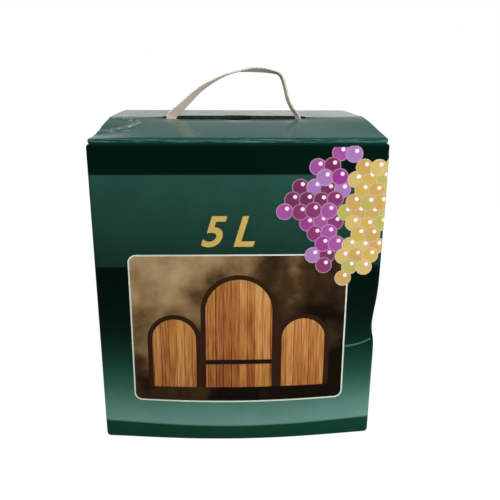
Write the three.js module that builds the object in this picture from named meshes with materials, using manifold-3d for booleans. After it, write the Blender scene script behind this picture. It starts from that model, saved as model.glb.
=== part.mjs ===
// Bag in box carton: a corrugated carton with a tuck-in lid and a carrying strap, around a full bag and tap.
// The origin is the middle of the floor it stands on. X is to the right, Y to the back, Z up, in millimetres.
import * as THREE from "three";
import { mergeVertices } from "three/addons/utils/BufferGeometryUtils.js";
import Module from "manifold-3d";

const wasm = await Module();
wasm.setup();

// Carton, before the full bag pushes its walls out
const WIDTH = 185;
const DEPTH = 163.5;
const WALL_TOP = 206;
const BOARD = 2.4;
const UPRIGHT_FOLD_RADIUS = 2.6;
const FOOT_RADIUS = 3;
const FOLD_SEGMENTS = 2;
const TOUCH = 0.3;

// Flaps of the carton
const DUST_FLAP_LENGTH = 60;
const DUST_FLAP_RELIEF = 0.5;
const BOTTOM_FLAP_LENGTH = 58;
const BOTTOM_SEAM = 1;
const GLUE_LAP_LENGTH = 30;
const GLUE_SEAM = 0.8;
const GLUE_SEAM_INSET = 4;
const GLUE_SEAM_DEPTH = 1.4;
const REAR_EDGE_RISE = 1.2;

// Lid: the outer top flap, with its tuck flap
const LID_INSET = 1.5;
const LID_FOLD_RADIUS = 3;
const MITRE_ANGLE = 135;
const RIDGE_RISE = 2.6;
const TUCK_LENGTH = 28;
const TUCK_LEAN = 8;
const TUCK_CORNER = 12;
const TUCK_CLEARANCE = 1;
const SLOT_LEFT = -53;
const SLOT_RIGHT = 49.5;
const SLOT_WIDTH = 7;
const SLOT_CORNER = 1;
const FINGER_HOLE_WIDTH = 22;
const FINGER_HOLE_DEPTH = 5;

// Tear-out for the tap: a half round in the lid, and one in the left wall below it
const TEAR_OUT_RADIUS = 21;
const TEAR_OUT_PLACE = -23;
const TEAR_OUT_CUTS = 6;
const TEAR_OUT_CUT_LENGTH = 6.5;
const TEAR_OUT_CUT_WIDTH = 1;

// Carrying strap
const STRAP_WIDTH = 8.6;
const STRAP_THICKNESS = 0.9;
const STRAP_STEPS = 44;
const STRAP_END_TWIST = 52;
const STRAP_REACH = 47;
const STRAP_RISE = 35.9;
const ANCHOR_LENGTH = 20;
const ANCHOR_WIDTH = 9;
const ANCHOR_THICKNESS = 1.6;

// Full bag
const BAG_HEADROOM = 20;
const BAG_CLEARANCE = 0.8;
const BAG_UPRIGHT_RADIUS = 22;
const BAG_FOOT_RADIUS = 12;
const BAG_SHOULDER_RADIUS = 34;
const BAG_ROUND_SEGMENTS = 5;
const LAP_CLEARANCE = 0.6;

// Tap, lying on its side in a hollow of the bag's left shoulder
const TAP_DROP = 23;
const TAP_BAY_LENGTH = 41;
const TAP_BAY_WIDTH = 52;
const TAP_BAY_DEPTH = 24;
const TAP_BAY_RADIUS = 12;
const GLAND_FLANGE_RADIUS = 20;
const GLAND_FLANGE_THICKNESS = 1.6;
const GLAND_NECK_RADIUS = 15;
const GLAND_NECK_LENGTH = 9;
const GLAND_BORE_RADIUS = 10;
const TAP_RADIUS = 13;
const TAP_LENGTH = 22;
const TAP_RECESS_RADIUS = 10.5;
const TAP_RECESS_DEPTH = 6;
const TAP_BORE_RADIUS = 6;
const TAP_GUIDE_THICKNESS = 2;
const SPOUT_RADIUS = 6;
const SPOUT_BORE_RADIUS = 4;
const SPOUT_REACH = 20;
const SPOUT_PLACE = 0.5;
const BUTTON_CLEARANCE = 0.4;
const BUTTON_THICKNESS = 3;
const BUTTON_PROUD = 1;
const BUTTON_TRAVEL = 2;
const STEM_RADIUS = 2;
const STEM_CLEARANCE = 0.4;
const VALVE_DISC_RADIUS = 8;
const VALVE_DISC_THICKNESS = 2;
const ROUND_SEGMENTS = 24;

// How far the full bag pushes the walls out, and how that fades towards the edges and the top
const FRONT_BULGE = 9.75;
const SIDE_BULGE = 4;
const BULGE_HEIGHT = 14;
const BULGE_FADE_UP = 52;
const BULGE_FADE_DOWN = 29.7;
const BULGE_FADE_POWER = 1.2;
const BULGE_EDGE_POWER = 1.3;

// The lid's rear edge has sunk a little
const REAR_SAG = 1.2;
const REAR_SAG_POWER = 4;

// Dent in the front right upright edge
const DENT_DEPTH = 2.1;
const DENT_HEIGHT = 83;
const DENT_FADE_UP = 19;
const DENT_FADE_DOWN = 9;
const LOW_EDGE_PUSH = 0.8;
const DENT_REACH = 10;

// How far a flat face may stray from the bulged form that it follows
const WALL_STRAY = 0.25;
const BAG_STRAY = 0.5;
const MOST_DIVISIONS = 9;
const MERGE = 1e-4;
const PAST = 20;

// Sizes that follow from those above
const HALF_WIDTH = WIDTH / 2;
const HALF_DEPTH = DEPTH / 2;
const INNER_HALF_WIDTH = HALF_WIDTH - BOARD;
const INNER_HALF_DEPTH = HALF_DEPTH - BOARD;
const LID_UNDER = WALL_TOP + TOUCH;
const LID_TOP = LID_UNDER + BOARD;
const RIDGE_UNDER = LID_UNDER + RIDGE_RISE;
const LID_HALF_WIDTH = HALF_WIDTH - LID_INSET;
const LID_REAR = INNER_HALF_DEPTH - TOUCH;
const HINGE_Y = -HALF_DEPTH;
const DUST_FLAP_REAR = LID_REAR - BOARD - DUST_FLAP_RELIEF;
const BAG_TOP = WALL_TOP - BAG_HEADROOM;
const TAP_HEIGHT = BAG_TOP - TAP_DROP;
const DEGREE = Math.PI / 180;

// Frames that lay a drawn outline and its extrusion along the axes
const ALONG_X = new THREE.Matrix4().makeBasis(
  new THREE.Vector3(0, 1, 0),
  new THREE.Vector3(0, 0, 1),
  new THREE.Vector3(1, 0, 0),
);
const ALONG_Y = new THREE.Matrix4().makeBasis(
  new THREE.Vector3(1, 0, 0),
  new THREE.Vector3(0, 0, 1),
  new THREE.Vector3(0, -1, 0),
);

function solid(geometry) {
  const bare = new THREE.BufferGeometry();
  bare.setAttribute("position", geometry.getAttribute("position"));
  bare.setIndex(geometry.index);
  const merged = mergeVertices(bare, MERGE);
  const corners = [...merged.index.array];
  const triVerts = [];
  for (let i = 0; i < corners.length; i += 3) {
    const [a, b, c] = corners.slice(i, i + 3);
    if (a !== b && b !== c && c !== a) triVerts.push(a, b, c);
  }
  const mesh = new wasm.Mesh({
    numProp: 3,
    vertProperties: new Float32Array(merged.attributes.position.array),
    triVerts: new Uint32Array(triVerts),
  });
  return new wasm.Manifold(mesh);
}

// A quarter round gets as many faces as segments says: three.js makes two for each of its curveSegments
function extrusion(shape, length, segments = FOLD_SEGMENTS) {
  const options = { depth: length, bevelEnabled: false, curveSegments: segments / 2 };
  return new THREE.ExtrudeGeometry(shape, options);
}

// An outline in X and Y, from one height to another
function upright(shape, low, high, segments) {
  return solid(extrusion(shape, high - low, segments).translate(0, 0, low));
}

// An outline in X and Z, from one depth to another
function lengthwise(shape, front, rear, segments) {
  return solid(extrusion(shape, rear - front, segments).applyMatrix4(ALONG_Y).translate(0, rear, 0));
}

// An outline in Y and Z, from left to right
function crosswise(shape, left, right, segments) {
  return solid(extrusion(shape, right - left, segments).applyMatrix4(ALONG_X).translate(left, 0, 0));
}

function block(left, right, front, rear, low, high) {
  const geometry = new THREE.BoxGeometry(right - left, rear - front, high - low);
  geometry.translate((left + right) / 2, (front + rear) / 2, (low + high) / 2);
  return solid(geometry);
}

// A rectangle whose lower and upper corners have radii of their own
function roundedOutline(left, right, low, high, lowRadius, highRadius) {
  const shape = new THREE.Shape();
  const corner = (x, y, radius, from) => {
    if (radius > 0) shape.absarc(x, y, radius, from, from + Math.PI / 2);
    else shape.lineTo(x, y);
  };
  shape.moveTo(left + lowRadius, low);
  corner(right - lowRadius, low + lowRadius, lowRadius, -Math.PI / 2);
  corner(right - highRadius, high - highRadius, highRadius, 0);
  corner(left + highRadius, high - highRadius, highRadius, Math.PI / 2);
  corner(left + lowRadius, low + lowRadius, lowRadius, Math.PI);
  return shape;
}

// A block rounded on its upright edges, round its foot and round its top
function pillow(halfWidth, halfDepth, low, high, uprightRadius, footRadius, topRadius, segments) {
  const plan = roundedOutline(-halfWidth, halfWidth, -halfDepth, halfDepth, uprightRadius, uprightRadius);
  const front = roundedOutline(-halfWidth, halfWidth, low, high, footRadius, topRadius);
  const side = roundedOutline(-halfDepth, halfDepth, low, high, footRadius, topRadius);
  return upright(plan, low, high, segments)
    .intersect(lengthwise(front, -halfDepth, halfDepth, segments))
    .intersect(crosswise(side, -halfWidth, halfWidth, segments));
}

// How strongly the bag pushes at a height, from 0 to 1
function bulgeAtHeight(z) {
  const fade = z > BULGE_HEIGHT ? BULGE_FADE_UP : BULGE_FADE_DOWN;
  return Math.exp(-((Math.abs(z - BULGE_HEIGHT) / fade) ** BULGE_FADE_POWER));
}

function bulgeAcross(place, half) {
  const share = Math.min(1, Math.abs(place) / half);
  return (1 - share * share) ** BULGE_EDGE_POWER;
}

function dentAtHeight(z) {
  const above = z > DENT_HEIGHT;
  const away = Math.abs(z - DENT_HEIGHT) / (above ? DENT_FADE_UP : DENT_FADE_DOWN);
  const low = LOW_EDGE_PUSH * (above ? Math.exp(-away * away) : 1);
  return low + DENT_DEPTH * Math.exp(-away * away);
}

function nearDent(x, y) {
  const away = Math.hypot(x - HALF_WIDTH, y + HALF_DEPTH) / DENT_REACH;
  return Math.exp(-away * away);
}

// Moves a point of the square carton to where the full bag, the dent and the sunken lid put it
function pushedOut(point) {
  const { x, y, z } = point;
  const front = (FRONT_BULGE * bulgeAtHeight(z) * bulgeAcross(x, HALF_WIDTH)) / HALF_DEPTH;
  const side = (SIDE_BULGE * bulgeAtHeight(z) * bulgeAcross(y, HALF_DEPTH)) / HALF_WIDTH;
  const sunk = (Math.max(0, y) / HALF_DEPTH) ** 2 * (Math.max(0, z) / WALL_TOP) ** REAR_SAG_POWER;
  point.x = x * (1 + side) - dentAtHeight(z) * nearDent(x, y);
  point.y = y * (1 + front);
  point.z = z - REAR_SAG * sunk;
}

function moved(point) {
  const there = point.clone();
  pushedOut(there);
  return there;
}

// Whether a straight edge between two points strays too far from where the bulge puts the points along it
function strays(a, b, most) {
  const from = moved(a);
  const to = moved(b);
  return [0.25, 0.5, 0.75].some((share) => {
    const onEdge = from.clone().lerp(to, share);
    return moved(a.clone().lerp(b, share)).distanceTo(onEdge) > most;
  });
}

function listed(mesh) {
  const points = [];
  const faces = [];
  for (let i = 0; i < mesh.numVert; i++) {
    points.push(new THREE.Vector3().fromArray(mesh.vertProperties, i * mesh.numProp));
  }
  for (let i = 0; i < mesh.triVerts.length; i += 3) faces.push([...mesh.triVerts.subarray(i, i + 3)]);
  return { points, faces };
}

// Divides every edge that strays from the bulged form, the same on both of its faces
function divided(points, allFaces, most) {
  let faces = allFaces;
  for (let round = 0; round < MOST_DIVISIONS; round++) {
    const middles = new Map();
    const middle = (a, b) => {
      const key = a < b ? `${a} ${b}` : `${b} ${a}`;
      if (!middles.has(key)) {
        const isSplit = strays(points[a], points[b], most);
        const at = points[a].clone().lerp(points[b], 0.5);
        middles.set(key, isSplit ? points.push(at) - 1 : null);
      }
      return middles.get(key);
    };
    const next = [];
    for (const face of faces) next.push(...splitFace(face, middle, points));
    if (next.length === faces.length) break;
    faces = next;
  }
  return faces;
}

// One face as one to four, by the middles of its long edges
function splitFace(face, middle, points) {
  let [a, b, c] = face;
  let ab = middle(a, b);
  let bc = middle(b, c);
  let ca = middle(c, a);
  const count = [ab, bc, ca].filter((m) => m !== null).length;
  if (count === 0) return [face];
  if (count === 3) return [[a, ab, ca], [ab, b, bc], [ca, bc, c], [ab, bc, ca]];
  const turned = count === 1 ? () => ab !== null : () => ca === null;
  while (!turned()) {
    [a, b, c] = [b, c, a];
    [ab, bc, ca] = [bc, ca, ab];
  }
  if (count === 1) return [[a, ab, c], [ab, b, c]];
  const isShort = points[a].distanceTo(points[bc]) < points[ab].distanceTo(points[c]);
  const rest = isShort ? [[a, ab, bc], [a, bc, c]] : [[a, ab, c], [ab, bc, c]];
  return [[ab, b, bc], ...rest];
}

// A solid as a mesh's geometry. A wall, or the bag, is pushed out, and strays less than the given length.
function geometryOf(body, stray) {
  const { points, faces } = listed(body.getMesh());
  const form = stray ? divided(points, faces, stray) : faces;
  if (stray) points.forEach(pushedOut);
  const geometry = new THREE.BufferGeometry().setFromPoints(points);
  geometry.setIndex(form.flat());
  geometry.computeVertexNormals();
  return geometry;
}

// The folded sheet over the front edge and the lid: its outline in Y and Z, and where its folds are centred
const FRONT_FOLD = new THREE.Vector2(HINGE_Y + LID_FOLD_RADIUS, LID_TOP - LID_FOLD_RADIUS);
const REAR_FOLD = new THREE.Vector2(LID_REAR - LID_FOLD_RADIUS, LID_TOP - LID_FOLD_RADIUS);
const LID_INNER_RADIUS = LID_FOLD_RADIUS - BOARD;

function arcPoints(centre, radius, from, to) {
  const points = [];
  for (let i = 0; i <= FOLD_SEGMENTS; i++) {
    const angle = (from + ((to - from) * i) / FOLD_SEGMENTS) * DEGREE;
    points.push(new THREE.Vector2(Math.cos(angle), Math.sin(angle)).multiplyScalar(radius).add(centre));
  }
  return points;
}

// The slit along the mitre of the front fold, where the lid's half and the wall's half part
function mitreGap() {
  const along = new THREE.Vector2(-1, 1).normalize();
  const across = new THREE.Vector2(1, 1).normalize().multiplyScalar(TOUCH / 2);
  const inner = FRONT_FOLD.clone().addScaledVector(along, -LID_FOLD_RADIUS);
  const outer = FRONT_FOLD.clone().addScaledVector(along, 2 * LID_FOLD_RADIUS);
  const corners = [
    inner.clone().sub(across),
    inner.clone().add(across),
    outer.clone().add(across),
    outer.clone().sub(across),
  ];
  return crosswise(new THREE.Shape(corners), -HALF_WIDTH, HALF_WIDTH);
}

function frontWallFold() {
  const low = WALL_TOP - BOARD;
  const outline = [
    new THREE.Vector2(HINGE_Y, low),
    ...arcPoints(FRONT_FOLD, LID_FOLD_RADIUS, 180, MITRE_ANGLE),
    ...arcPoints(FRONT_FOLD, LID_INNER_RADIUS, MITRE_ANGLE, 180),
    new THREE.Vector2(HINGE_Y + BOARD, low),
  ];
  return crosswise(new THREE.Shape(outline), -LID_HALF_WIDTH, LID_HALF_WIDTH).subtract(mitreGap());
}

// A row of short cuts along a half round, each made by the given function of its place on the round
function halfRoundCuts(makeCut) {
  const cuts = [];
  for (let i = 0; i < TEAR_OUT_CUTS; i++) cuts.push(makeCut(((i + 0.5) / TEAR_OUT_CUTS) * Math.PI));
  return cuts;
}

function lidCut(angle) {
  const cut = new THREE.BoxGeometry(TEAR_OUT_CUT_LENGTH, TEAR_OUT_CUT_WIDTH, PAST);
  cut.translate(0, TEAR_OUT_RADIUS, 0).rotateZ(-angle);
  return solid(cut.translate(-LID_HALF_WIDTH, TEAR_OUT_PLACE, LID_TOP));
}

function wallCut(angle) {
  const cut = new THREE.BoxGeometry(PAST, TEAR_OUT_CUT_LENGTH, TEAR_OUT_CUT_WIDTH);
  cut.translate(0, 0, TEAR_OUT_RADIUS).rotateX(Math.PI / 2 + angle);
  return solid(cut.translate(-HALF_WIDTH, TEAR_OUT_PLACE, WALL_TOP));
}

function cartonBody() {
  const mouth = HALF_WIDTH - DUST_FLAP_LENGTH;
  const flapUnder = WALL_TOP - BOARD;
  const plan = roundedOutline(
    -HALF_WIDTH, HALF_WIDTH, -HALF_DEPTH, HALF_DEPTH, UPRIGHT_FOLD_RADIUS, UPRIGHT_FOLD_RADIUS,
  );
  const front = roundedOutline(-HALF_WIDTH, HALF_WIDTH, 0, WALL_TOP, FOOT_RADIUS, UPRIGHT_FOLD_RADIUS);
  const side = roundedOutline(-HALF_DEPTH, HALF_DEPTH, 0, WALL_TOP, FOOT_RADIUS, 0);
  let body = upright(plan, 0, WALL_TOP)
    .intersect(lengthwise(front, -HALF_DEPTH, HALF_DEPTH))
    .intersect(crosswise(side, -HALF_WIDTH, HALF_WIDTH));
  body = body.subtract(
    block(-INNER_HALF_WIDTH, INNER_HALF_WIDTH, -INNER_HALF_DEPTH, INNER_HALF_DEPTH, BOARD, flapUnder),
  );
  body = body.subtract(
    block(-mouth, mouth, -INNER_HALF_DEPTH, INNER_HALF_DEPTH, flapUnder - BOARD, WALL_TOP + PAST),
  );
  for (const [flapFront, flapRear] of [
    [-INNER_HALF_DEPTH, -INNER_HALF_DEPTH + DUST_FLAP_RELIEF],
    [DUST_FLAP_REAR, INNER_HALF_DEPTH],
  ]) {
    const slit = block(
      -INNER_HALF_WIDTH, INNER_HALF_WIDTH, flapFront, flapRear, flapUnder - BOARD, WALL_TOP + PAST,
    );
    body = body.subtract(slit);
  }
  body = body.add(frontWallFold());
  const rearReach = HALF_WIDTH - UPRIGHT_FOLD_RADIUS;
  body = body.add(
    block(-rearReach, rearReach, INNER_HALF_DEPTH, HALF_DEPTH, flapUnder, WALL_TOP + REAR_EDGE_RISE),
  );
  for (const side of [-1, 1]) {
    const from = side * (HALF_WIDTH - BOARD / 2);
    const to = side * (HALF_WIDTH - BOTTOM_FLAP_LENGTH);
    const left = Math.min(from, to);
    const right = Math.max(from, to);
    const edge = INNER_HALF_DEPTH + BOARD / 2;
    body = body.add(block(left, right, -edge, edge, BOARD / 2, 2 * BOARD));
  }
  body = body.subtract(
    block(-HALF_WIDTH - PAST, HALF_WIDTH + PAST, -BOTTOM_SEAM / 2, BOTTOM_SEAM / 2, -PAST, BOARD),
  );
  body = body.add(glueLap()).subtract(glueSeam()).subtract(dustFlapHole());
  for (const cut of halfRoundCuts(wallCut)) body = body.subtract(cut);
  return body;
}

// The lap from the rear wall, glued inside the left wall
function glueLap() {
  const left = -INNER_HALF_WIDTH - BOARD / 2;
  const rear = INNER_HALF_DEPTH + BOARD / 2;
  return block(
    left, -INNER_HALF_WIDTH + BOARD, INNER_HALF_DEPTH - GLUE_LAP_LENGTH, rear, BOARD, WALL_TOP - BOARD / 2,
  );
}

// The left wall's cut edge, a narrow groove beside the rear fold
function glueSeam() {
  const rear = HALF_DEPTH - GLUE_SEAM_INSET;
  return block(
    -HALF_WIDTH - PAST, -HALF_WIDTH + GLUE_SEAM_DEPTH, rear - GLUE_SEAM, rear, -PAST, WALL_TOP + PAST,
  );
}

// The half round that is cut out of the left dust flap, so that the tap can be drawn out through it
function dustFlapHole() {
  const round = new THREE.Shape();
  round.absarc(-INNER_HALF_WIDTH, TEAR_OUT_PLACE, TEAR_OUT_RADIUS, -Math.PI / 2, Math.PI / 2);
  round.closePath();
  return upright(round, WALL_TOP - 2 * BOARD, WALL_TOP + PAST, 2 * FOLD_SEGMENTS);
}

function lid() {
  const tip = new THREE.Vector2(-Math.sin(TUCK_LEAN * DEGREE), -Math.cos(TUCK_LEAN * DEGREE));
  const outerArc = arcPoints(REAR_FOLD, LID_FOLD_RADIUS, 90, -TUCK_LEAN);
  const innerArc = arcPoints(REAR_FOLD, LID_INNER_RADIUS, -TUCK_LEAN, 90);
  const outline = [
    ...arcPoints(FRONT_FOLD, LID_FOLD_RADIUS, MITRE_ANGLE, 90),
    new THREE.Vector2(0, LID_TOP + RIDGE_RISE),
    ...outerArc,
    outerArc.at(-1).clone().addScaledVector(tip, TUCK_LENGTH),
    innerArc[0].clone().addScaledVector(tip, TUCK_LENGTH),
    ...innerArc,
    new THREE.Vector2(0, RIDGE_UNDER),
    ...arcPoints(FRONT_FOLD, LID_INNER_RADIUS, 90, MITRE_ANGLE),
  ];
  let sheet = crosswise(new THREE.Shape(outline), -LID_HALF_WIDTH, LID_HALF_WIDTH).subtract(mitreGap());
  for (const side of [-1, 1]) sheet = sheet.subtract(tuckFlapTrim(side));
  sheet = sheet.subtract(slot()).subtract(fingerHole());
  for (const cut of halfRoundCuts(lidCut)) sheet = sheet.subtract(cut);
  return sheet;
}

// What is cut off each end of the tuck flap, so that it goes in between the walls past the glue lap
function tuckFlapTrim(side) {
  const half = INNER_HALF_WIDTH - BOARD - TUCK_CLEARANCE;
  const tip = REAR_FOLD.y - TUCK_LENGTH;
  const outside = HALF_WIDTH + PAST;
  const outline = [[outside, LID_UNDER], [half, LID_UNDER], [half, tip + TUCK_CORNER]];
  outline.push([half - TUCK_CORNER - PAST, tip - PAST], [outside, tip - PAST]);
  const corners = outline.map(([x, z]) => new THREE.Vector2(side * x, z));
  return lengthwise(new THREE.Shape(corners), 0, HALF_DEPTH);
}

function slot() {
  const half = SLOT_WIDTH / 2;
  const outline = roundedOutline(SLOT_LEFT, SLOT_RIGHT, -half, half, SLOT_CORNER, SLOT_CORNER);
  return upright(outline, LID_UNDER, LID_TOP + PAST);
}

function fingerHole() {
  const outline = new THREE.Shape();
  const depth = FINGER_HOLE_DEPTH + SLOT_WIDTH / 2;
  outline.absellipse(0, 0, FINGER_HOLE_WIDTH / 2, depth, 0, 2 * Math.PI);
  return upright(outline, LID_UNDER, LID_TOP + PAST, 4 * FOLD_SEGMENTS);
}

// The T-bars lie across the slot, under the lid. The strap's ends stand on them.
const ANCHOR_TOP = RIDGE_UNDER - (RIDGE_RISE * ANCHOR_LENGTH) / 2 / HALF_DEPTH - TOUCH;
const STRAP_FOOT = ANCHOR_TOP + TOUCH;

// Shares of the strap's reach to the side and of its rise, from the left end to the right one
const STRAP_ROUTE = [
  [-1, 0],
  [-0.996, 0.089],
  [-0.84, 0.279],
  [-0.689, 0.468],
  [-0.523, 0.649],
  [-0.326, 0.802],
  [-0.179, 0.891],
  [0, 0.964],
  [0.164, 0.994],
  [0.328, 1],
  [0.489, 0.978],
  [0.617, 0.919],
  [0.689, 0.808],
  [0.743, 0.624],
  [0.774, 0.454],
  [0.832, 0.287],
  [0.928, 0.114],
  [0.949, 0],
].map(([reach, rise]) => [reach * STRAP_REACH, rise * STRAP_RISE]);

function handleStrap() {
  const stations = STRAP_ROUTE.map(([x, rise]) => new THREE.Vector3(x, 0, STRAP_FOOT + rise));
  const route = new THREE.CatmullRomCurve3(stations, false, "centripetal");
  const tape = new THREE.BoxGeometry(1, STRAP_WIDTH, STRAP_THICKNESS, STRAP_STEPS, 2, 1);
  const place = tape.getAttribute("position");
  const depthwise = new THREE.Vector3(0, 1, 0);
  for (let i = 0; i < place.count; i++) {
    const share = Math.min(1, Math.max(0, place.getX(i) + 0.5));
    const tangent = route.getTangentAt(share);
    const inPlane = new THREE.Vector3().crossVectors(tangent, depthwise);
    const twist = STRAP_END_TWIST * DEGREE * Math.abs(2 * share - 1) ** 2;
    const across = depthwise.clone().multiplyScalar(Math.cos(twist));
    across.addScaledVector(inPlane, -Math.sin(twist));
    const face = inPlane.clone().multiplyScalar(Math.cos(twist));
    face.addScaledVector(depthwise, Math.sin(twist));
    const at = route.getPointAt(share);
    at.addScaledVector(across, place.getY(i)).addScaledVector(face, place.getZ(i));
    at.z = Math.max(at.z, STRAP_FOOT);
    place.setXYZ(i, at.x, at.y, at.z);
  }
  return solid(tape);
}

function strapAnchor(x) {
  const radius = ANCHOR_WIDTH / 2;
  const outline = roundedOutline(
    x - radius, x + radius, -ANCHOR_LENGTH / 2, ANCHOR_LENGTH / 2, radius / 2, radius / 2,
  );
  return upright(outline, ANCHOR_TOP - ANCHOR_THICKNESS, ANCHOR_TOP);
}

// The hollow in the bag's left shoulder where the tap lies
const BAY_RIGHT = -INNER_HALF_WIDTH + TAP_BAY_LENGTH;

function wineBag() {
  const low = 2 * BOARD + TOUCH;
  const halfWidth = INNER_HALF_WIDTH - BAG_CLEARANCE;
  const halfDepth = INNER_HALF_DEPTH - BAG_CLEARANCE;
  const full = pillow(
    halfWidth, halfDepth, low, BAG_TOP,
    BAG_UPRIGHT_RADIUS, BAG_FOOT_RADIUS, BAG_SHOULDER_RADIUS, BAG_ROUND_SEGMENTS,
  );
  const bayOutline = roundedOutline(
    TEAR_OUT_PLACE - TAP_BAY_WIDTH / 2, TEAR_OUT_PLACE + TAP_BAY_WIDTH / 2,
    TAP_HEIGHT - TAP_BAY_DEPTH, BAG_TOP + PAST, TAP_BAY_RADIUS, 0,
  );
  const bay = crosswise(bayOutline, -HALF_WIDTH - PAST, BAY_RIGHT);
  const lap = block(
    -HALF_WIDTH, -INNER_HALF_WIDTH + BOARD + LAP_CLEARANCE,
    INNER_HALF_DEPTH - GLUE_LAP_LENGTH - LAP_CLEARANCE, HALF_DEPTH, -PAST, WALL_TOP,
  );
  return full.subtract(bay).subtract(lap);
}

// Where the tap's pieces start along X, each from the one before, going left from the bag
const FLANGE_RIGHT = BAY_RIGHT - TOUCH;
const FLANGE_LEFT = FLANGE_RIGHT - GLAND_FLANGE_THICKNESS;
const NECK_LEFT = FLANGE_LEFT - GLAND_NECK_LENGTH;
const TAP_RIGHT = NECK_LEFT - TOUCH;
const TAP_LEFT = TAP_RIGHT - TAP_LENGTH;
const RECESS_RIGHT = TAP_LEFT + TAP_RECESS_DEPTH;
const GUIDE_RIGHT = RECESS_RIGHT + TAP_GUIDE_THICKNESS;
const DISC_RIGHT = FLANGE_RIGHT - BUTTON_TRAVEL - TOUCH;
const DISC_LEFT = DISC_RIGHT - VALVE_DISC_THICKNESS;
const SLEEVE_RIGHT = DISC_LEFT - TOUCH;
const SLEEVE_RADIUS = GLAND_BORE_RADIUS - TOUCH;
const BUTTON_LEFT = TAP_LEFT - BUTTON_PROUD;
const BUTTON_RIGHT = BUTTON_LEFT + BUTTON_THICKNESS;

// A piece turned about the tap's axis, from a list of [radius, x] corners
function turned(corners) {
  const outline = corners.map(([radius, x]) => new THREE.Vector2(radius, x));
  const geometry = new THREE.LatheGeometry(outline, ROUND_SEGMENTS).rotateZ(-Math.PI / 2);
  return solid(geometry.translate(0, TEAR_OUT_PLACE, TAP_HEIGHT));
}

function tapGland() {
  return turned([
    [GLAND_BORE_RADIUS, NECK_LEFT],
    [GLAND_NECK_RADIUS, NECK_LEFT],
    [GLAND_NECK_RADIUS, FLANGE_LEFT],
    [GLAND_FLANGE_RADIUS, FLANGE_LEFT],
    [GLAND_FLANGE_RADIUS, FLANGE_RIGHT],
    [GLAND_BORE_RADIUS, FLANGE_RIGHT],
    [GLAND_BORE_RADIUS, NECK_LEFT],
  ]);
}

function tapBody() {
  const guideRadius = STEM_RADIUS + STEM_CLEARANCE;
  const shell = turned([
    [TAP_BORE_RADIUS, GUIDE_RIGHT],
    [guideRadius, GUIDE_RIGHT],
    [guideRadius, RECESS_RIGHT],
    [TAP_RECESS_RADIUS, RECESS_RIGHT],
    [TAP_RECESS_RADIUS, TAP_LEFT],
    [TAP_RADIUS, TAP_LEFT],
    [TAP_RADIUS, TAP_RIGHT],
    [SLEEVE_RADIUS, TAP_RIGHT],
    [SLEEVE_RADIUS, SLEEVE_RIGHT],
    [TAP_BORE_RADIUS, SLEEVE_RIGHT],
    [TAP_BORE_RADIUS, GUIDE_RIGHT],
  ]);
  const spoutX = TAP_RIGHT + (GUIDE_RIGHT - TAP_RIGHT) * SPOUT_PLACE;
  const low = TAP_HEIGHT - SPOUT_REACH;
  const spout = spoutCylinder(SPOUT_RADIUS, spoutX, low, TAP_HEIGHT - TAP_BORE_RADIUS - BOARD);
  const bore = spoutCylinder(SPOUT_BORE_RADIUS, spoutX, low - PAST, TAP_HEIGHT);
  return shell.add(spout).subtract(bore);
}

function spoutCylinder(radius, x, low, high) {
  const geometry = new THREE.CylinderGeometry(radius, radius, high - low, ROUND_SEGMENTS);
  geometry.rotateX(Math.PI / 2);
  return solid(geometry.translate(x, TEAR_OUT_PLACE, (low + high) / 2));
}

function tapButton() {
  const radius = TAP_RECESS_RADIUS - BUTTON_CLEARANCE;
  return turned([[0, BUTTON_LEFT], [radius, BUTTON_LEFT], [radius, BUTTON_RIGHT], [0, BUTTON_RIGHT]]);
}

function tapStem() {
  return turned([
    [0, BUTTON_RIGHT + TOUCH],
    [STEM_RADIUS, BUTTON_RIGHT + TOUCH],
    [STEM_RADIUS, DISC_LEFT],
    [VALVE_DISC_RADIUS, DISC_LEFT],
    [VALVE_DISC_RADIUS, DISC_RIGHT],
    [0, DISC_RIGHT],
  ]);
}

// What each piece is made of
const PRINTED_BOARD = { color: 0x133d33, roughness: 0.35, metalness: 0 };
const COTTON_TAPE = { color: 0xbeb8ae, roughness: 0.9, metalness: 0 };
const NYLON = { color: 0xe9e7df, roughness: 0.45, metalness: 0 };
const METALLISED_FILM = { color: 0xb9bcc0, roughness: 0.3, metalness: 0.6 };
const POLYETHYLENE = { color: 0xf1f0ea, roughness: 0.5, metalness: 0 };
const TAP_RED = { color: 0xa32020, roughness: 0.4, metalness: 0 };

const PIECES = [
  ["carton_body", cartonBody(), PRINTED_BOARD, WALL_STRAY],
  ["lid", lid(), PRINTED_BOARD, WALL_STRAY],
  ["handle_strap", handleStrap(), COTTON_TAPE],
  ["strap_anchor_left", strapAnchor(STRAP_ROUTE[0][0]), NYLON],
  ["strap_anchor_right", strapAnchor(STRAP_ROUTE.at(-1)[0]), NYLON],
  ["wine_bag", wineBag(), METALLISED_FILM, BAG_STRAY],
  ["tap_gland", tapGland(), POLYETHYLENE],
  ["tap_body", tapBody(), POLYETHYLENE],
  ["tap_button", tapButton(), TAP_RED],
  ["tap_stem", tapStem(), POLYETHYLENE],
];

const carton = new THREE.Group();
for (const [name, body, finish, stray] of PIECES) {
  const mesh = new THREE.Mesh(geometryOf(body, stray), new THREE.MeshStandardMaterial(finish));
  mesh.name = name;
  carton.add(mesh);
}

export default carton;
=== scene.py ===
# Bag in box carton: printed corrugated board, a tuck-in lid, a carrying strap, and a full bag with a tap
import math
from functools import partial

import bmesh
import bpy
import numpy as np
from bpy.props import FloatProperty, FloatVectorProperty, PointerProperty
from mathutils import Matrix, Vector, noise


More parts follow.
